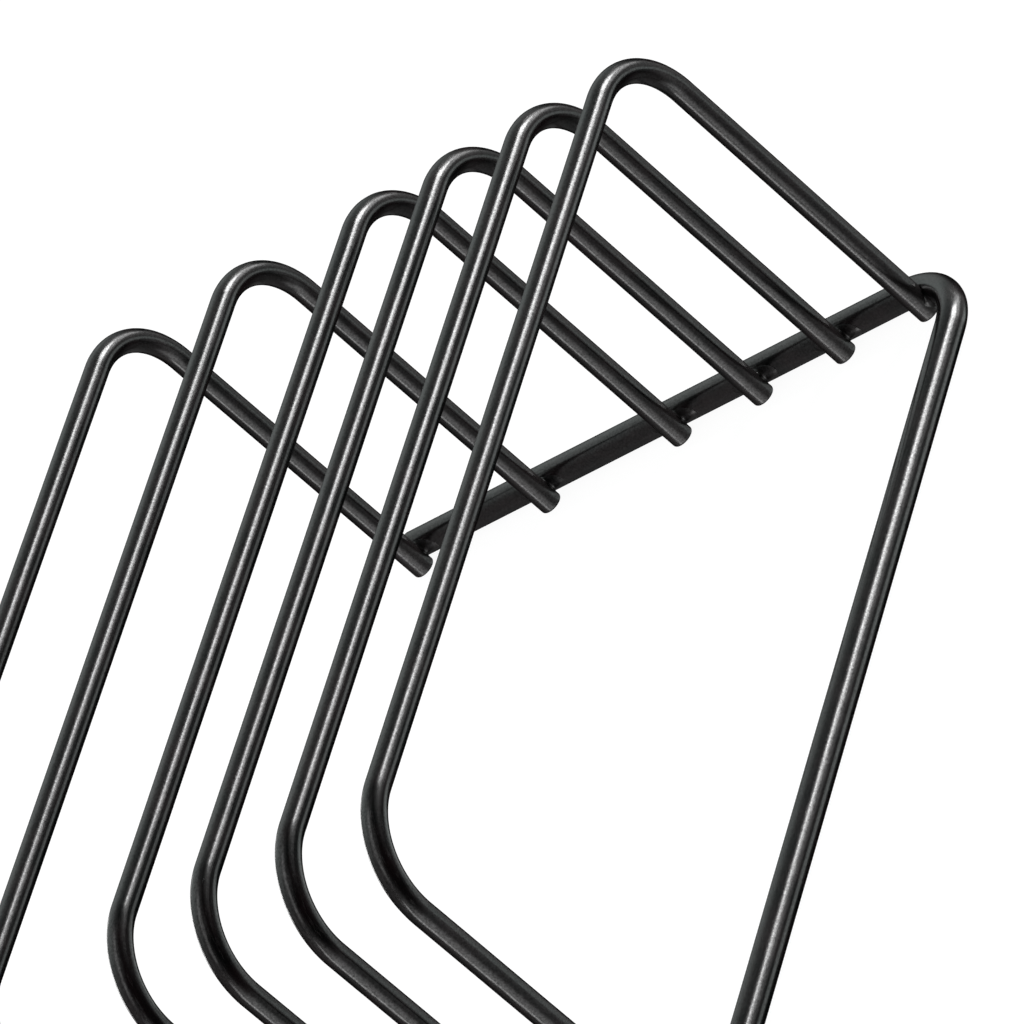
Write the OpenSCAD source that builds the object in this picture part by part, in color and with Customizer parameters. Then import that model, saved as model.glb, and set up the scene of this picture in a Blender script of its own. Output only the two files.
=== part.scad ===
// Wire toast rack. Six dividers, each an inverted U of round wire, stand inside a flat
// U-shaped base frame of slightly thicker wire. A resistance weld joins every divider leg
// to the frame, and the leg ends are level with the underside of the frame, so the rack
// stands on both. Nothing on it moves.
//
// Millimetres. +Z is up, +Y runs along the dividers' top bars (left), and +X runs along
// the rails towards the end bar, which closes the frame. The origin is the middle of the
// rack's footprint, on the table.

/* [Wire] */
// Diameter of the divider wire with its coating
loop_wire_d = 4.0; // [3.6:0.05:4.4]
// Diameter of the base frame wire with its coating
frame_wire_d = 4.87; // [4.6:0.01:5.4]
// Width of the bevel round every cut wire end
end_bevel = 0.4; // [0.1:0.05:0.6]

/* [Dividers] */
// Distance between the centrelines of a divider's two legs
leg_spacing = 168.1; // [140:0.1:200]
// Height of the top bars' centrelines above the table
top_bar_height = 70.3; // [45:0.1:110]
// Centreline radius of the dividers' two top bends
loop_bend_r = 13.9; // [8:0.1:20]
// Distances from each divider to the next: two wide slots, then three narrow ones
slot_pitches = [29.7, 30.1, 18.3, 18.3, 18.3]; // [12:0.1:40]

/* [Base frame] */
// Distance from the last divider's centreline to the end bar's centreline
end_bar_gap = 9.4; // [9:0.1:10]
// Centreline radius of the frame's two corners
frame_bend_r = 13.7; // [13.4:0.1:14]
// How far the rails run on past the first divider's centreline
rail_overrun = 2.1; // [2:0.1:8]

/* [Welds] */
// Depth by which a rail and a leg are pressed into each other
set_down = 0.52; // [0.3:0.02:0.6]
// Diameter of the bead round a weld on a straight rail
bead_d = 4.1; // [3.8:0.1:4.6]
// Diameter of the bead where the last divider is welded into the frame's corner
corner_bead_d = 5.8; // [5.4:0.1:6.2]

/* [Hidden] */
$fn = 96;
wire_colour = [0.07, 0.07, 0.075];
weld_colour = [0.11, 0.11, 0.12];
bead_inset = 0.05; // the beads stay this far inside the frame's top and underside
margin = 1;        // cutting solids run past what they cut by this much

loop_r = loop_wire_d / 2;
frame_r = frame_wire_d / 2;
leg_y = leg_spacing / 2;
rail_y = leg_y + loop_r + frame_r - set_down;

// Sum of the first n slot pitches
function run_to(n) = n == 0 ? 0 : run_to(n - 1) + slot_pitches[n - 1];
loop_count = len(slot_pitches) + 1;
rack_length = rail_overrun + run_to(loop_count - 1) + end_bar_gap + frame_r;
rail_start_x = -rack_length / 2;
end_bar_x = rack_length / 2 - frame_r;
loop_x = [for (n = [0:loop_count - 1]) rail_start_x + rail_overrun + run_to(n)];

// Centre of the frame's left corner; the rails turn into bends from its x onwards
corner = [end_bar_x - frame_bend_r, rail_y - frame_bend_r];

// Middle of the depth that a left leg at x shares with the frame, in plan
function bite_on_rail(x) = [x, leg_y + loop_r - set_down / 2];
function bite_on_bend(x) =
    let (lean = [x, leg_y] - corner)
    let (leg_outside = norm(lean) + loop_r)
    let (frame_inside = frame_bend_r - frame_r)
    corner + lean / norm(lean) * (leg_outside + frame_inside) / 2;
function in_bend(x) = x > corner[0];
function bite(x) = in_bend(x) ? bite_on_bend(x) : bite_on_rail(x);

SIDES = ["left", "right"];
LOOP_NODES = [for (n = [1:loop_count]) str("loop_", n)];
WELD_NODES = [for (n = [1:loop_count], side = SIDES) str("weld_", n, "_", side)];

// Draws its children on the left side as they are, and on the right side mirrored
module on_side(side) {
    if (side == "left") children();
    else mirror([0, 1, 0]) children();
}

// Straight wire of radius r along +Z with a bevelled cut end at the origin
module cut_wire(r, length) {
    cylinder(r1 = r - end_bevel, r2 = r, h = end_bevel);
    translate([0, 0, end_bevel]) cylinder(r = r, h = length - end_bevel);
}

// Quarter turn of wire in the XY plane, from +X to +Y
module quarter_bend(bend_r, wire_r) {
    rotate_extrude(angle = 90) translate([bend_r, 0]) circle(wire_r);
}

// Straight wire of radius r along Y, centred on the origin
module cross_wire(r, length) {
    rotate([90, 0, 0]) cylinder(r = r, h = length, center = true);
}

// One divider's bent wire, in the YZ plane
module bent_loop() {
    bend_z = top_bar_height - loop_bend_r;
    bend_y = leg_y - loop_bend_r;
    for (side = SIDES) on_side(side) {
        translate([0, leg_y, 0]) cut_wire(loop_r, bend_z);
        translate([0, bend_y, bend_z]) rotate([90, 0, 90]) quarter_bend(loop_bend_r, loop_r);
    }
    translate([0, 0, top_bar_height]) cross_wire(loop_r, 2 * bend_y);
}

// The frame's bent wire: two rails, two corners and the end bar
module bent_frame() {
    translate([0, 0, frame_r]) {
        for (side = SIDES) on_side(side) {
            translate([rail_start_x, rail_y, 0])
                rotate([0, 90, 0]) cut_wire(frame_r, corner[0] - rail_start_x);
            translate(corner) quarter_bend(frame_bend_r, frame_r);
        }
        translate([end_bar_x, 0, 0]) cross_wire(frame_r, 2 * corner[1]);
    }
}

module base_frame() {
    color(wire_colour) bent_frame();
}

// A divider, with a saddle in each leg where the frame is pressed into it
module wire_loop(n) {
    color(wire_colour) difference() {
        translate([loop_x[n], 0, 0]) bent_loop();
        bent_frame();
    }
}

// Ring of weld metal round the place where a leg and the frame are pressed together
module weld_bead(n, side) {
    x = loop_x[n];
    bead_r = (in_bend(x) ? corner_bead_d : bead_d) / 2;
    slab = [2 * bead_r + margin, 2 * bead_r + margin, frame_wire_d - 2 * bead_inset];
    color(weld_colour) on_side(side) difference() {
        translate([bite(x)[0], bite(x)[1], frame_r]) intersection() {
            sphere(bead_r);
            cube(slab, center = true);
        }
        translate([x, leg_y, -margin]) cylinder(r = loop_r, h = top_bar_height);
        bent_frame();
    }
}

base_frame();
for (n = [0:loop_count - 1])
    wire_loop(n);
for (n = [0:loop_count - 1], side = SIDES)
    weld_bead(n, side);
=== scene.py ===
import math

import bmesh
import bpy
import numpy as np
from mathutils import Matrix, Vector


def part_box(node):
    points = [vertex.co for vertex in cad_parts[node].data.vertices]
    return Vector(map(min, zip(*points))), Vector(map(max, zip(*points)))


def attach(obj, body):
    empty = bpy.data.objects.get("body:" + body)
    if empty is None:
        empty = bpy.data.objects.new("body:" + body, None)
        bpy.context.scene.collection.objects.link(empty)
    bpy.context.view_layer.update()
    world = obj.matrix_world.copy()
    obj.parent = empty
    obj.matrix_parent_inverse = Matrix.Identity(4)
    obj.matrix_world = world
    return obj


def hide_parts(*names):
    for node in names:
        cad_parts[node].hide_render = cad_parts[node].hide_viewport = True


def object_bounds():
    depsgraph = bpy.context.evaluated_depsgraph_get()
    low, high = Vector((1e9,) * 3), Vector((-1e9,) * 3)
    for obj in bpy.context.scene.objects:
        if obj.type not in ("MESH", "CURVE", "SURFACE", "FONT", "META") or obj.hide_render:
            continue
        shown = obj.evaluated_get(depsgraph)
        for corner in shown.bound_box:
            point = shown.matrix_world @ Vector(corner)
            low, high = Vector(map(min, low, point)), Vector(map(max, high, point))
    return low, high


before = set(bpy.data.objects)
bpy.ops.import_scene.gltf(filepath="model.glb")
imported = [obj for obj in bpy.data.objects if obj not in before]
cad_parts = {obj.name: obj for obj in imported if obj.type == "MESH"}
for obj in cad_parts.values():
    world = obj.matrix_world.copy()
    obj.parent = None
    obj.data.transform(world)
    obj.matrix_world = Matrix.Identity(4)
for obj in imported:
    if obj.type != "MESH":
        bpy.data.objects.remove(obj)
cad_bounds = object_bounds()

# A black coated wire toast rack. The CAD model gives every wire's place and size; this script
# replaces each wire and weld with a finer mesh that has the marks of being made: rounded cut
# ends, bends that are a little flattened and scuffed, saddles where the wires were pressed
# together, and weld metal that lies in the corners between them. Metres throughout.

MM = 0.001
PHASE = 6.28  # the range of a random phase, one turn
rng = np.random.default_rng(7)


# ---------------------------------------------------------------- dimensions from the frame

LOOP_NODES = sorted(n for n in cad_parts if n.startswith("loop_"))
WELD_SIDES = {"left": 1, "right": -1}
LOOP_BEND_R = 13.9 * MM      # centreline radius of the dividers' bends, as in the CAD model
FRAME_BEND_R = 13.7 * MM     # centreline radius of the base frame's corners, the same
LOOP_END_ROUND = 0.42 * MM   # how far the coating rounds the dividers' cut ends
FRAME_END_ROUND = 0.6 * MM   # the same for the rails' cut ends

frame_low, frame_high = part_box("base_frame")
FRAME_R = frame_high.z / 2
RAIL_Y = frame_high.y - FRAME_R
RAIL_START = frame_low.x
END_BAR_X = frame_high.x - FRAME_R
CORNER = np.array([END_BAR_X - FRAME_BEND_R, RAIL_Y - FRAME_BEND_R])

loop_low, loop_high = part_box(LOOP_NODES[0])
LOOP_R = (loop_high.x - loop_low.x) / 2
LEG_Y = loop_high.y - LOOP_R
TOP_BAR_Z = loop_high.z - LOOP_R
LOOP_X = [(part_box(n)[0].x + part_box(n)[1].x) / 2 for n in LOOP_NODES]


# ---------------------------------------------------------------- wires as swept meshes

AROUND = 56                        # points round a wire
RUN_STEP = 1.4 * MM                # between rings on a straight run
FINE_STEP = 0.35 * MM              # between rings in a bend and near a weld
FINE_REACH = 7.0 * MM              # how far from a cut end the fine rings go on
WANDER_LENGTHS = (0.19, 0.083, 0.031)  # metres, the waves that a wire wanders in
WIRE_WANDER = 0.012 * MM           # how far a wire strays from its centreline
THICK_WANDER = 0.0012              # how much its thickness varies, as a share
BEND_RAMP = math.radians(14)       # the marks of bending grow over this much of a bend
BEND_FLATTEN = 0.012               # a bend is this share thinner in its own plane
BEND_WIDEN = 0.008                 # and this share wider across it
TOOL_PRESS = 0.022 * MM            # depth of the bending tool's mark on the outside
TOOL_WIDTH = 0.45                  # its half width round the wire, in radians
DENTS = 16                         # small dents along each wire
EDGE_RINGS = 8                     # rings round the edge of a cut end
CAP_SHARES = (0.3, 0.55, 0.8)      # rings across its flat, as shares of the flat's radius
CAP_DISH = 0.015 * MM              # how far the middle of the flat is sunk
TIP_REACH = 1.2 * MM               # the coating is palest this near a cut end


def smooth(x):
    """0 below 0, 1 above 1, and a smooth rise between."""
    x = np.clip(x, 0.0, 1.0)
    return x * x * (3 - 2 * x)


def unit(vector):
    return vector / np.linalg.norm(vector)


def run_stations(start, end, fine_start, fine_end):
    """Distances from start to end: fine near the ends asked for, coarse between."""
    length = np.linalg.norm(end - start)
    reach = min(FINE_REACH, length / 2)
    cuts = [0.0, reach if fine_start else 0.0, length - (reach if fine_end else 0.0), length]
    steps = [FINE_STEP, RUN_STEP, FINE_STEP]
    out = []
    for a, b, step in zip(cuts, cuts[1:], steps):
        if b - a > 1e-9:
            out.extend(np.linspace(a, b, max(2, math.ceil((b - a) / step) + 1))[:-1])
    return np.array(out)


class Path:
    """A wire's centreline: square corners joined by straight runs and rounded to one radius."""

    def __init__(self, corners, bend_r):
        corners = [np.array(c, float) for c in corners]
        self.points, self.tangents, self.outward, self.bend = [], [], [], []
        start = corners[0]
        last = len(corners) - 3
        for n, (a, b, c) in enumerate(zip(corners, corners[1:], corners[2:])):
            u = unit(b - a)
            v = unit(c - b)
            bend_start = b - u * bend_r
            for s in run_stations(start, bend_start, n == 0, False):
                self.add(start + u * s, u, -v, 0.0)
            self.add_bend(bend_start, bend_r, u, v)
            start = b + v * bend_r
            if n == last:
                for s in run_stations(start, c, False, True):
                    self.add(start + v * s, v, u, 0.0)
                self.add(c, v, u, 0.0)
        self.points = np.array(self.points)
        self.tangents = np.array(self.tangents)
        self.outward = np.array(self.outward)
        self.bend = np.array(self.bend)
        steps = np.linalg.norm(np.diff(self.points, axis=0), axis=1)
        self.s = np.concatenate([[0], np.cumsum(steps)])

    def add_bend(self, bend_start, bend_r, u, v):
        """A quarter turn from direction u to direction v."""
        count = round(bend_r * math.pi / 2 / FINE_STEP)
        for t in np.linspace(0, math.pi / 2, count, endpoint=False):
            spot = bend_start + bend_r * (math.sin(t) * u + (1 - math.cos(t)) * v)
            tangent = math.cos(t) * u + math.sin(t) * v
            outward = math.sin(t) * u - math.cos(t) * v
            self.add(spot, tangent, outward, smooth(min(t, math.pi / 2 - t) / BEND_RAMP))

    def add(self, point, tangent, outward, bend):
        self.points.append(point)
        self.tangents.append(tangent)
        self.outward.append(outward)
        self.bend.append(float(bend))


def wander(s, wire_rng, size):
    """A slow curve along a wire, as much as a straightened wire keeps of its coil."""
    out = np.zeros_like(s)
    for length in WANDER_LENGTHS:
        share = math.sqrt(length / WANDER_LENGTHS[0])
        out += share * np.sin(2 * math.pi * s / length + wire_rng.uniform(0, PHASE))
    return out * size


def dent_depths(path, angle, wire_rng):
    """How deep the small dents are at each point of each ring. Most of them are in the bends."""
    depths = np.zeros((len(path.s), AROUND))
    odds = (0.15 + path.bend) / (0.15 + path.bend).sum()
    for _ in range(DENTS):
        at = wire_rng.choice(path.s, p=odds)
        turn = wire_rng.normal(0, 0.7)
        depth = wire_rng.uniform(0.008, 0.03) * MM
        length = wire_rng.uniform(0.5, 1.8) * MM
        width = wire_rng.uniform(0.1, 0.22)
        off = np.angle(np.exp(1j * (angle - turn)))
        fade = np.exp(-(((path.s - at) / length) ** 2))
        depths += depth * fade[:, None] * np.exp(-((off / width) ** 2))
    return depths


def pale_wear_and_reflection(from_end, wear_and_reflection_reach):
    """How matt and pale the coating is at this distance from a cut end, from 0 to 1. Close to the end
    the paleness is wear; the longer pale band over the reach given is painted reflected light, which
    lightens the legs beside the welds.
    """
    return max(smooth(1 - from_end / TIP_REACH), 0.9 * smooth(1.5 - from_end / wear_and_reflection_reach))


def tube_faces(count):
    """The faces of a tube of count rings, closed by a fan to each of the two points after them."""
    faces = []
    for i in range(count - 1):
        a, b = i * AROUND, (i + 1) * AROUND
        for j in range(AROUND):
            k = (j + 1) % AROUND
            faces.append((a + j, a + k, b + k, b + j))
    for hub, base in ((count * AROUND, 0), (count * AROUND + 1, (count - 1) * AROUND)):
        faces.extend((hub, base + j, base + (j + 1) % AROUND) for j in range(AROUND))
    return faces


def swept_wire(name, path, radius, end_round, wire_rng, wear_and_reflection_reach):
    """A closed mesh swept along the path. Its cut ends are rounded by end_round, and its coating
    is matt and pale for about the reach given from them: worn at the ends, and beyond that painted
    reflected light, as on the legs beside the welds. Its attributes are those that the coating reads:
    wire_pos (where a point lies on the wire), bend and tip."""
    angle = np.linspace(0, 2 * math.pi, AROUND, endpoint=False)
    binormal = np.cross(path.tangents, path.outward)
    centre = path.points + path.outward * wander(path.s, wire_rng, WIRE_WANDER)[:, None]
    centre = centre + binormal * wander(path.s, wire_rng, WIRE_WANDER)[:, None]
    total = path.s[-1]

    # A bend is flattened in its plane and wider across it, and its outside is pressed by the tool.
    swell = 1 + wander(path.s, wire_rng, THICK_WANDER)
    r_out = (radius * (1 - BEND_FLATTEN * path.bend) * swell)[:, None] * np.cos(angle)
    r_side = (radius * (1 + BEND_WIDEN * path.bend) * swell)[:, None] * np.sin(angle)
    off_outside = np.angle(np.exp(1j * angle))
    press = TOOL_PRESS * path.bend[:, None] * np.exp(-((off_outside / TOOL_WIDTH) ** 2))
    shrink = 1 - (press + dent_depths(path, angle, wire_rng)) / radius

    rings, ring_s, ring_bend, ring_tip = [], [], [], []

    def ring(n, scale, shift, tip):
        out = path.outward[n] * (r_out[n] * shrink[n])[:, None]
        side = binormal[n] * (r_side[n] * shrink[n])[:, None]
        rings.append(centre[n] + (out + side) * scale + path.tangents[n] * shift)
        ring_s.append(path.s[n] + shift)
        ring_bend.append(path.bend[n])
        ring_tip.append(tip)

    # A cut end from its middle outwards: a slight dish, then an edge rounded in a quarter circle.
    inner = 1 - end_round / radius
    cut_end = [(inner * share, CAP_DISH * (1 - share)) for share in CAP_SHARES]
    for t in np.linspace(0, math.pi / 2, EDGE_RINGS)[::-1]:
        scale = 1 - end_round / radius * (1 - math.cos(t))
        cut_end.append((scale, end_round * (1 - math.sin(t))))
    for scale, shift in cut_end:
        ring(0, scale, shift, 1.0)
    for n in range(len(path.s)):
        from_end = min(path.s[n], total - path.s[n])
        if from_end > end_round * 1.15:
            ring(n, 1.0, 0.0, pale_wear_and_reflection(from_end, wear_and_reflection_reach))
    for scale, shift in reversed(cut_end):
        ring(-1, scale, -shift, 1.0)

    start_cap = centre[0] + path.tangents[0] * CAP_DISH
    end_cap = centre[-1] - path.tangents[-1] * CAP_DISH
    verts = np.vstack([np.array(rings).reshape(-1, 3), [start_cap, end_cap]])
    verts[:, 2] = np.maximum(verts[:, 2], 0)  # the rack rests on the table

    count = len(rings)
    start = wire_rng.uniform(0, 5)
    widths = [np.linalg.norm(r[0] - r[AROUND // 2]) / (2 * radius) for r in rings]
    turned = np.stack([np.cos(angle) * radius, np.sin(angle) * radius], -1)
    where = np.zeros((len(verts), 3))
    where[:-2, :2] = (turned * np.array(widths)[:, None, None]).reshape(-1, 2)
    where[:-2, 2] = np.repeat(ring_s, AROUND) + start
    where[-2:, 2] = [start, start + total]
    outside = np.tile(0.5 + 0.5 * np.cos(angle), count)
    bend = np.concatenate([np.repeat(ring_bend, AROUND) * outside, [0, 0]])
    tip = np.concatenate([np.repeat(ring_tip, AROUND), [1, 1]])
    return mesh_piece(name, verts, tube_faces(count), where, bend, tip)


def mesh_piece(name, verts, faces, where, bend, tip):
    """A smooth shaded mesh object with the attributes that the coating reads."""
    mesh = bpy.data.meshes.new(name)
    mesh.from_pydata([tuple(v) for v in verts], [], faces)
    layer = mesh.attributes.new("wire_pos", "FLOAT_VECTOR", "POINT")
    layer.data.foreach_set("vector", np.asarray(where, np.float32).ravel())
    for label, values in (("bend", bend), ("tip", tip)):
        layer = mesh.attributes.new(label, "FLOAT", "POINT")
        layer.data.foreach_set("value", np.asarray(values, np.float32))
    mesh.validate()
    bm = bmesh.new()
    bm.from_mesh(mesh)
    bmesh.ops.recalc_face_normals(bm, faces=bm.faces)
    bm.to_mesh(mesh)
    bm.free()
    mesh.polygons.foreach_set("use_smooth", [True] * len(mesh.polygons))
    piece = bpy.data.objects.new(name, mesh)
    bpy.context.scene.collection.objects.link(piece)
    return piece


# ---------------------------------------------------------------- where the wires meet

# How far a weld spreads: round the leg and up the frame in degrees, along the frame, and up and
# down the leg. lift is how high its ridge stands, as a share of the weld's width.
RAIL_WELD = {"turn": 68, "run": 4.8 * MM, "up": 1.9 * MM, "down": 1.8 * MM, "tilt": 48, "lift": 0.08}
CORNER_WELD = {"turn": 108, "run": 4.3 * MM, "up": 1.5 * MM, "down": 2.25 * MM, "tilt": 34, "lift": 0.0}
TILT_DOWN = math.radians(52)  # how far any weld goes down round the frame
WELD_TURNS = 96               # points round a weld
WELD_ACROSS = 15              # points across it, from its toe on the leg to its toe on the frame
WELD_TIP = 0.1                # how pale a weld's coating is, where 1 is as pale as a cut end


def frame_centre(points):
    """The nearest point on the base frame's centreline to each of these points near a weld."""
    x, y = points[:, 0], np.abs(points[:, 1])
    side = np.sign(points[:, 1])
    away = np.stack([x, y], -1) - CORNER
    away_len = np.linalg.norm(away, axis=1)
    arc = CORNER + away / away_len[:, None] * FRAME_BEND_R
    on_arc = (x > CORNER[0]) & (y > CORNER[1])
    near_x = np.where(on_arc, arc[:, 0], x)
    near_y = np.where(on_arc, arc[:, 1], RAIL_Y)
    return np.stack([near_x, near_y * side, np.full(len(x), FRAME_R)], -1)


def press_saddles(piece):
    """Moves the legs' points that lie inside the frame out to its surface, as the weld does."""
    count = len(piece.data.vertices)
    co = np.zeros(count * 3)
    piece.data.vertices.foreach_get("co", co)
    co = co.reshape(-1, 3)
    centre = frame_centre(co)
    off = co - centre
    distance = np.linalg.norm(off, axis=1)
    inside = (co[:, 2] < 2.2 * FRAME_R) & (distance < FRAME_R)
    co[inside] = centre[inside] + off[inside] / distance[inside, None] * FRAME_R
    piece.data.vertices.foreach_set("co", co.ravel())
    piece.data.update()


class Joint:
    """One weld: a leg, standing on the axis at leg, against the frame wire.
    reach is the direction from the leg to the frame, and along runs with the frame."""

    def __init__(self, loop_x, side):
        self.leg = np.array([loop_x, side * LEG_Y, 0.0])
        self.side = side
        self.curved = loop_x > CORNER[0]
        self.reach = np.array([0.0, side, 0.0])
        if self.curved:
            self.hub = np.array([CORNER[0], side * CORNER[1], 0.0])
            self.reach = unit(self.leg - self.hub)
        self.along = np.array([self.reach[1], -self.reach[0], 0.0]) * side

    def on_leg(self, turn, height):
        """A point on the leg, turned from the side that faces the frame."""
        flat = math.cos(turn) * self.reach + math.sin(turn) * self.along
        return self.leg + LOOP_R * flat + np.array([0, 0, FRAME_R + height])

    def on_frame(self, run, tilt):
        """A point on the frame, run along it, tilted up from the side that faces the leg."""
        if self.curved:
            sweep = run / FRAME_BEND_R
            out = math.cos(sweep) * self.reach + math.sin(sweep) * self.along
            centre = self.hub + FRAME_BEND_R * out
        else:
            out = self.reach
            centre = np.array([self.leg[0], self.side * RAIL_Y, 0.0]) + run * self.along
        skin = -math.cos(tilt) * out + math.sin(tilt) * np.array([0, 0, 1.0])
        return centre + FRAME_R * skin + np.array([0, 0, FRAME_R])


def curve_point(hold, t):
    """A point on the smooth curve that the points in hold pull, from the first to the last."""
    while len(hold) > 1:
        hold = [p + (q - p) * t for p, q in zip(hold, hold[1:])]
    return hold[0]


def weld_section(joint, shape, run_limit, phi, phases):
    """The weld's closed outline at phi round the joint: over the ridge from the leg to the frame,
    and back through its buried inside."""
    lump = 1 + 0.04 * math.sin(2 * phi + phases[0]) + 0.03 * math.sin(3 * phi + phases[1])
    ridge = 1 + 0.3 * math.sin(2 * phi + phases[2]) + 0.14 * math.sin(5 * phi + phases[3])
    cos_phi, sin_phi = math.cos(phi), math.sin(phi)
    toe = shape["up"] if sin_phi > 0 else shape["down"]
    tilt = math.radians(shape["tilt"]) if sin_phi > 0 else TILT_DOWN

    def leg_at(share):
        turn = math.radians(shape["turn"]) * cos_phi * share * lump
        return joint.on_leg(turn, toe * sin_phi * share * min(lump, 1.03))

    def frame_at(share):
        run = np.clip(shape["run"] * cos_phi * lump, *run_limit) * share
        return joint.on_frame(run, tilt * sin_phi * share)

    leg_toe, frame_toe = leg_at(1.0), frame_at(1.0)
    gap = np.linalg.norm(leg_toe - frame_toe)
    pull_leg = unit(leg_at(0.98) - leg_toe)
    pull_frame = unit(frame_at(0.98) - frame_toe)
    skin = unit(frame_toe - frame_centre(frame_toe[None])[0])
    rise = skin * gap * shape["lift"] * ridge * cos_phi ** 2
    hold = [
        leg_toe,
        leg_toe + pull_leg * gap * 0.3,
        frame_toe + pull_frame * gap * 0.52 + rise * 0.9,
        frame_toe + pull_frame * gap * 0.3 + rise,
        frame_toe + pull_frame * gap * 0.12,
        frame_toe,
    ]
    row = [curve_point(hold, t) for t in np.linspace(0, 1, WELD_ACROSS)]
    core = (leg_at(0.3) + frame_at(0.3)) / 2
    buried = [row[-1] + (core - row[-1]) * 0.2, core, row[0] + (core - row[0]) * 0.2]
    return row + buried


def weld_piece(name, joint, run_limit, weld_rng):
    """A closed ring of weld metal and coating round the joint. The metal that was squeezed out
    lies on the frame as a low ridge, and its inside is buried in the wires."""
    shape = CORNER_WELD if joint.curved else RAIL_WELD
    phases = weld_rng.uniform(0, PHASE, 5)
    turns = [2 * math.pi * i / WELD_TURNS for i in range(WELD_TURNS)]
    rows = np.array([weld_section(joint, shape, run_limit, phi, phases) for phi in turns])
    per = rows.shape[1]
    verts = rows.reshape(-1, 3)
    faces = []
    for i in range(WELD_TURNS):
        a, b = i * per, ((i + 1) % WELD_TURNS) * per
        for j in range(per):
            k = (j + 1) % per
            faces.append((a + j, a + k, b + k, b + j))
    where = verts - joint.leg + weld_rng.uniform(0, 5)
    return mesh_piece(name, verts, faces, where, np.zeros(len(verts)), np.full(len(verts), WELD_TIP))


# ---------------------------------------------------------------- the coating


class Nodes:
    """Short ways to add and link shader nodes."""

    def __init__(self, tree):
        self.tree = tree
        tree.nodes.clear()

    def add(self, kind, inputs=None, **settings):
        node = self.tree.nodes.new(kind)
        for key, value in settings.items():
            setattr(node, key, value)
        for key, value in (inputs or {}).items():
            if isinstance(value, bpy.types.NodeSocket):
                self.tree.links.new(value, node.inputs[key])
            else:
                node.inputs[key].default_value = value
        return node

    def math(self, operation, a, b=0.0):
        return self.add("ShaderNodeMath", {0: a, 1: b}, operation=operation).outputs[0]

    def scaled(self, vector, factor):
        inputs = {0: vector, "Scale": factor}
        return self.add("ShaderNodeVectorMath", inputs, operation="SCALE").outputs[0]

    def span(self, value, low, high, to_low=0.0, to_high=1.0):
        """to_low where value is at low, to_high where it is at high, and a smooth rise between."""
        inputs = {"Value": value, "From Min": low, "From Max": high, "To Min": to_low, "To Max": to_high}
        return self.add("ShaderNodeMapRange", inputs, interpolation_type="SMOOTHSTEP").outputs[0]

    def noise(self, vector, scale, detail=2.0, rough=0.5, stretch=(1, 1, 1)):
        """Noise with scale in features per millimetre, stretched along the wire if asked."""
        sized = self.add("ShaderNodeVectorMath", {0: vector, 1: stretch}, operation="MULTIPLY")
        inputs = {"Vector": sized.outputs[0], "Scale": scale, "Detail": detail, "Roughness": rough}
        return self.add("ShaderNodeTexNoise", inputs).outputs["Fac"]

    def mix(self, factor, a, b):
        """Colour a where factor is 0 and b where it is 1. Each is a colour or a socket."""
        node = self.add("ShaderNodeMix", data_type="RGBA")
        for key, value in (("Factor", factor), ("A", a), ("B", b)):
            if isinstance(value, bpy.types.NodeSocket):
                self.tree.links.new(value, node.inputs[key])
            else:
                node.inputs[key].default_value = (*value, 1)
        return node.outputs["Result"]


# A paler black: worn coating at scuffed bends and cut ends, and painted reflected light on the legs
# beside the welds.
WORN_AND_REFLECTION_BLACK = (0.016, 0.0140, 0.0142)
# Heights in the coating, in millimetres from the lowest to the highest
PEEL_HEIGHT = 0.0035    # orange peel
STREAK_HEIGHT = 0.002   # drawing lines along the wire
GRAIN_HEIGHT = 0.0009
SCUFF_HEIGHT = -0.006   # scuffs on the outside of bends
NIB_HEIGHT = 0.012      # dust under the coating


def dust_nibs(n, where):
    """1 at the middle of a grain of dust, and 0 away from it."""
    cells = n.add("ShaderNodeTexVoronoi", {"Vector": where, "Scale": 0.42})
    chosen = n.add("ShaderNodeSeparateColor", {0: cells.outputs["Color"]}).outputs[0]
    near = n.span(cells.outputs["Distance"], 0.16, 0.0)
    return n.math("MULTIPLY", near, n.math("GREATER_THAN", chosen, 0.62))


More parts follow.
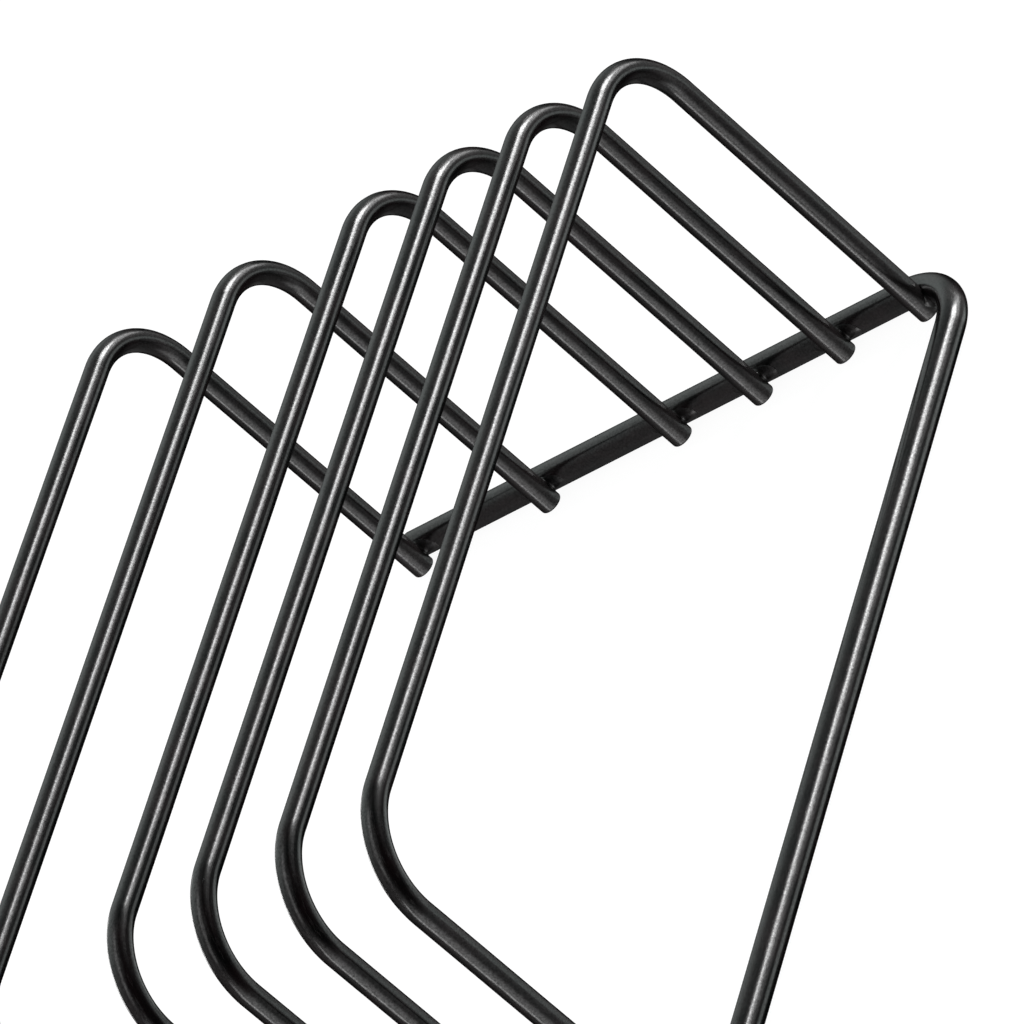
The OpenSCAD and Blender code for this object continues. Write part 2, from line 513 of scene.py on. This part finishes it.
def coating(name, cold, warm, gloss):
    """Satin black coating on drawn wire, in patches of a cold and a warm black. gloss is its
    lowest roughness."""
    material = bpy.data.materials.new(name)
    material.use_nodes = True
    n = Nodes(material.node_tree)
    where = n.add("ShaderNodeAttribute", attribute_name="wire_pos").outputs["Vector"]
    where = n.scaled(where, 1000.0)
    bend = n.add("ShaderNodeAttribute", attribute_name="bend").outputs["Fac"]
    tip = n.add("ShaderNodeAttribute", attribute_name="tip").outputs["Fac"]

    patches = n.noise(where, 0.2, 3.0)
    streaks = n.noise(where, 1.0, 3.0, 0.6, (3.2, 3.2, 0.06))
    peel = n.noise(where, 0.85, 1.5)
    grain = n.noise(where, 3.4, 2.0, 0.6, (1, 1, 1.3))
    specks = n.noise(where, 3.0, 2.0, 0.65)
    scuff = n.noise(where, 1.0, 4.0, 0.65, (2.2, 2.2, 0.35))
    scuff = n.math("MULTIPLY", n.span(scuff, 0.52, 0.7), n.span(bend, 0.35, 0.95))
    nibs = dust_nibs(n, where)

    height = n.math("MULTIPLY", peel, PEEL_HEIGHT)
    for layer, size in (
        (streaks, STREAK_HEIGHT), (grain, GRAIN_HEIGHT), (scuff, SCUFF_HEIGHT), (nibs, NIB_HEIGHT),
    ):
        height = n.math("ADD", height, n.math("MULTIPLY", layer, size))
    bump = n.add("ShaderNodeBump", {"Height": height, "Strength": 1.0, "Distance": MM}).outputs[0]

    shade = n.math("ADD", n.math("MULTIPLY", patches, 0.7), n.math("MULTIPLY", streaks, 0.3))
    colour = n.mix(n.span(shade, 0.35, 0.65), cold, warm)
    # Paler at scuffed bends and next to cut ends, which is wear; beside the welds the legs' longer pale
    # band is painted reflected light.
    wear_and_reflection = n.math("MULTIPLY", n.math("MAXIMUM", scuff, tip), 0.7)
    colour = n.mix(wear_and_reflection, colour, WORN_AND_REFLECTION_BLACK)

    rough = n.span(patches, 0.3, 0.7, gloss, gloss + 0.03)
    for layer, size in ((scuff, 0.16), (tip, 0.05), (grain, 0.03)):
        rough = n.math("ADD", rough, n.math("MULTIPLY", layer, size))
    shine = n.math("ADD", n.math("MULTIPLY", n.math("SUBTRACT", specks, 0.5), 1.1), 0.5)
    shine = n.math("ADD", shine, n.math("MULTIPLY", n.math("SUBTRACT", patches, 0.5), 0.08))
    surface = n.add("ShaderNodeBsdfPrincipled", {
        "Base Color": colour,
        "Roughness": rough,
        "IOR": 1.5,
        "Specular IOR Level": shine,
        "Normal": bump,
    })
    n.add("ShaderNodeOutputMaterial", {"Surface": surface.outputs[0]})
    return material


wire_coating = coating("wire_coating", (0.0012, 0.0018, 0.0018), (0.0054, 0.0030, 0.0034), 0.18)
weld_coating = coating("weld_coating", (0.0016, 0.0019, 0.0021), (0.0050, 0.0034, 0.0036), 0.26)


# ---------------------------------------------------------------- the pieces

FRAME_MATT = 1 * MM     # the rails' coating is matt this near their cut ends
LEG_WEAR_AND_REFLECTION = 8 * MM       # and the dividers' near theirs, which are at the welds, where this long pale band is painted reflected light
RUN_FREE = 10 * MM      # further than any weld runs along the frame
RAIL_SPARE = 0.3 * MM   # a weld stays this far inside a rail's cut end


def add_base_frame():
    """The bent wire that all the dividers are welded to."""
    corners = [(RAIL_START, RAIL_Y, FRAME_R), (END_BAR_X, RAIL_Y, FRAME_R)]
    corners += [(x, -y, z) for x, y, z in reversed(corners)]
    path = Path(corners, FRAME_BEND_R)
    wire = swept_wire("base_frame_wire", path, FRAME_R, FRAME_END_ROUND, rng.spawn(1)[0], FRAME_MATT)
    wire.data.materials.append(wire_coating)
    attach(wire, "root")
    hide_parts("base_frame")


def add_divider(node, x):
    """One divider's bent wire, with its legs in the frame's saddles."""
    corners = [(x, LEG_Y, 0), (x, LEG_Y, TOP_BAR_Z), (x, -LEG_Y, TOP_BAR_Z), (x, -LEG_Y, 0)]
    path = Path(corners, LOOP_BEND_R)
    # Beside the welds the legs' coating is painted paler: painted reflected light.
    wire = swept_wire(node + "_wire", path, LOOP_R, LOOP_END_ROUND, rng.spawn(1)[0], LEG_WEAR_AND_REFLECTION)
    press_saddles(wire)
    wire.data.materials.append(wire_coating)
    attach(wire, "root")
    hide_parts(node)


def add_weld(node, x, side):
    """The weld between a divider's leg and the frame. Beside a cut end it stops short of it."""
    run_limit = (max(RAIL_START + RAIL_SPARE - x, -RUN_FREE), RUN_FREE)
    weld = weld_piece(node + "_bead", Joint(x, side), run_limit, rng.spawn(1)[0])
    weld.data.materials.append(weld_coating)
    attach(weld, "root")
    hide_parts(node)


add_base_frame()
for loop_node, loop_x in zip(LOOP_NODES, LOOP_X):
    add_divider(loop_node, loop_x)
    for label, side in WELD_SIDES.items():
        add_weld(loop_node.replace("loop", "weld") + "_" + label, loop_x, side)


# ---------------------------------------------------------------- floor, light and camera

FLOOR_HALF = 6.0
FLOOR_DROP = 0.02 * MM  # the floor lies this far below the rack, so that the two don't touch
NEUTRAL = (1, 1, 1)
COOL = (0.93, 1.01, 0.99)
WARM = (1.03, 0.98, 0.99)
AMBIENT = (0.004, 0.004, 0.004)
# The studio: azimuth, elevation, width, height, spin, edge softness, radiance and colour of
# each light, with angles in degrees.
LIGHTS = [
    (144.5, 21.5, 18, 21.5, -2, 3.5, 24.5, NEUTRAL),  # the key, on the camera's right
    (147, 1.5, 26, 13, 6, 2, 3.2, NEUTRAL),           # its dimmer lower end
    (161, 6, 12, 24, 0, 3, 2.1, NEUTRAL),             # a strip beside that
    (147, -2, 35, 71, 25, 5, 0.42, NEUTRAL),          # dim surround of the key
    (138, 22, 69, 39, -3, 40, 0.6, NEUTRAL),          # its glow
    (140, -33, 52, 13.5, -17, 2, 1.2, COOL),          # low panel under the key
    (74, -37, 70, 24, 3, 20, 0.67, NEUTRAL),          # low panel, right of the camera
    (14, -34, 41, 38, -52, 23, 1.9, NEUTRAL),         # low panel, left of the camera
    (-12, -18, 11, 35, -12, 3, 4.6, NEUTRAL),         # bright strip beside that
    (-22, -73, 75, 70, -15, 19, 0.18, NEUTRAL),       # dim panel underneath
    (-17, 59, 21, 69, 17, 15, 1.35, NEUTRAL),         # high panel, left of the camera
    (-50, 82, 52, 50, 47, 30, 0.34, NEUTRAL),         # overhead
    (-108, 38, 70, 49, 35, 54, 0.98, COOL),           # wide panel, behind on the left
    (-108, -4, 30, 18, 0, 3, 4.6, NEUTRAL),           # low strip below that
    (-165, 34, 48, 53, -11, 22, 0.38, COOL),          # dim panel behind
    (-25, 4, 80, 91, 30, 56, 0.3, WARM),              # faint surround on the left
    (6, -1, 34, 12, 0, 8, 0.24, WARM),                # and faint panels round the camera
    (38, -18, 28, 14, 0, 10, 0.16, WARM),
    (46, 54, 30, 14, 0, 10, 0.2, NEUTRAL),
]
FLOOR_GLOW = 0.95
FLOOR_PAPER = (0.12, 0.12, 0.12, 1)
WHITE = (1, 1, 1, 1)

CAMERA_AZIMUTH = 44.515
CAMERA_ELEVATION = 24.713
CAMERA_ROLL = 49.25      # the picture is turned this far anticlockwise
CAMERA_DISTANCE = 1.787
CAMERA_AIM = Vector((11.58, 31.88, -0.33)) * MM  # from the rack's middle: it is a close-up
SENSOR_WIDTH = 36.0      # millimetres
LENS = 410.3
CLIP_END = 50.0


def direction(azimuth, elevation):
    """The unit vector towards azimuth and elevation in degrees: 0 is -Y and 90 is +X."""
    a, e = math.radians(azimuth), math.radians(elevation)
    return Vector((math.sin(a) * math.cos(e), -math.cos(a) * math.cos(e), math.sin(e)))


def add_floor():
    """Pale paper that only the camera sees, because the picture shows no shadow on it."""
    mesh = bpy.data.meshes.new("floor")
    corners = [(-1, -1), (1, -1), (1, 1), (-1, 1)]
    mesh.from_pydata([(x * FLOOR_HALF, y * FLOOR_HALF, 0) for x, y in corners], [], [(0, 1, 2, 3)])
    floor = bpy.data.objects.new("floor", mesh)
    bpy.context.scene.collection.objects.link(floor)
    floor.location.z = -FLOOR_DROP
    material = bpy.data.materials.new("floor_paper")
    material.use_nodes = True
    n = Nodes(material.node_tree)
    glow = n.add("ShaderNodeEmission", {"Color": WHITE, "Strength": FLOOR_GLOW})
    paper = n.add("ShaderNodeBsdfDiffuse", {"Color": FLOOR_PAPER})
    both = n.add("ShaderNodeAddShader", {0: glow.outputs[0], 1: paper.outputs[0]})
    n.add("ShaderNodeOutputMaterial", {"Surface": both.outputs[0]})
    mesh.materials.append(material)
    floor.visible_glossy = False
    floor.visible_diffuse = False
    floor.visible_shadow = False


def soft_light(n, sky, azimuth, elevation, width, height, spin, soft, radiance, colour):
    """A rectangle of light round the sky, with its sides width and height, turned by spin, and with
    an edge that fades over soft, all in degrees. Returns its colour as a vector socket."""
    facing = direction(azimuth, elevation)
    across = Matrix.Rotation(math.radians(spin), 3, facing) @ direction(azimuth + 90, 0)
    upward = across.cross(-facing)

    def along(axis):
        dot = n.add("ShaderNodeVectorMath", {0: sky, 1: axis}, operation="DOT_PRODUCT")
        return dot.outputs["Value"]

    u = n.math("ABSOLUTE", n.math("ARCTAN2", along(across), along(facing)))
    v = n.math("ABSOLUTE", n.math("ARCSINE", along(upward)))
    sides = []
    for angle, full in ((u, width), (v, height)):
        outer, inner = math.radians(full + soft) / 2, math.radians(full - soft) / 2
        sides.append(n.span(angle, outer, inner))
    level = n.math("MULTIPLY", n.math("MULTIPLY", sides[0], sides[1]), radiance)
    return n.scaled(colour, level)


def add_studio():
    """A sky that holds the lights. The camera sees plain white instead of it."""
    world = bpy.data.worlds.new("studio")
    bpy.context.scene.world = world
    world.use_nodes = True
    n = Nodes(world.node_tree)
    sky = n.add("ShaderNodeTexCoord").outputs["Generated"]
    total = AMBIENT
    for light in LIGHTS:
        inputs = {0: total, 1: soft_light(n, sky, *light)}
        total = n.add("ShaderNodeVectorMath", inputs, operation="ADD").outputs[0]
    seen = n.add("ShaderNodeLightPath").outputs["Is Camera Ray"]
    lit = n.add("ShaderNodeBackground", {"Color": total})
    white = n.add("ShaderNodeBackground", {"Color": WHITE})
    shown = n.add("ShaderNodeMixShader", {0: seen, 1: lit.outputs[0], 2: white.outputs[0]})
    n.add("ShaderNodeOutputWorld", {"Surface": shown.outputs[0]})


def add_camera():
    """The photograph's viewpoint."""
    data = bpy.data.cameras.new("camera")
    data.sensor_width = SENSOR_WIDTH
    data.lens = LENS
    data.clip_end = CLIP_END
    camera = bpy.data.objects.new("camera", data)
    bpy.context.scene.collection.objects.link(camera)
    bpy.context.scene.camera = camera
    aim = (cad_bounds[0] + cad_bounds[1]) / 2 + CAMERA_AIM
    back = direction(CAMERA_AZIMUTH, CAMERA_ELEVATION)
    level = back.to_track_quat("Z", "Y").to_matrix()
    turned = level @ Matrix.Rotation(math.radians(-CAMERA_ROLL), 3, "Z")
    camera.matrix_world = Matrix.Translation(aim + back * CAMERA_DISTANCE) @ turned.to_4x4()


add_floor()
add_studio()
add_camera()
bpy.context.scene.view_settings.view_transform = "Standard"
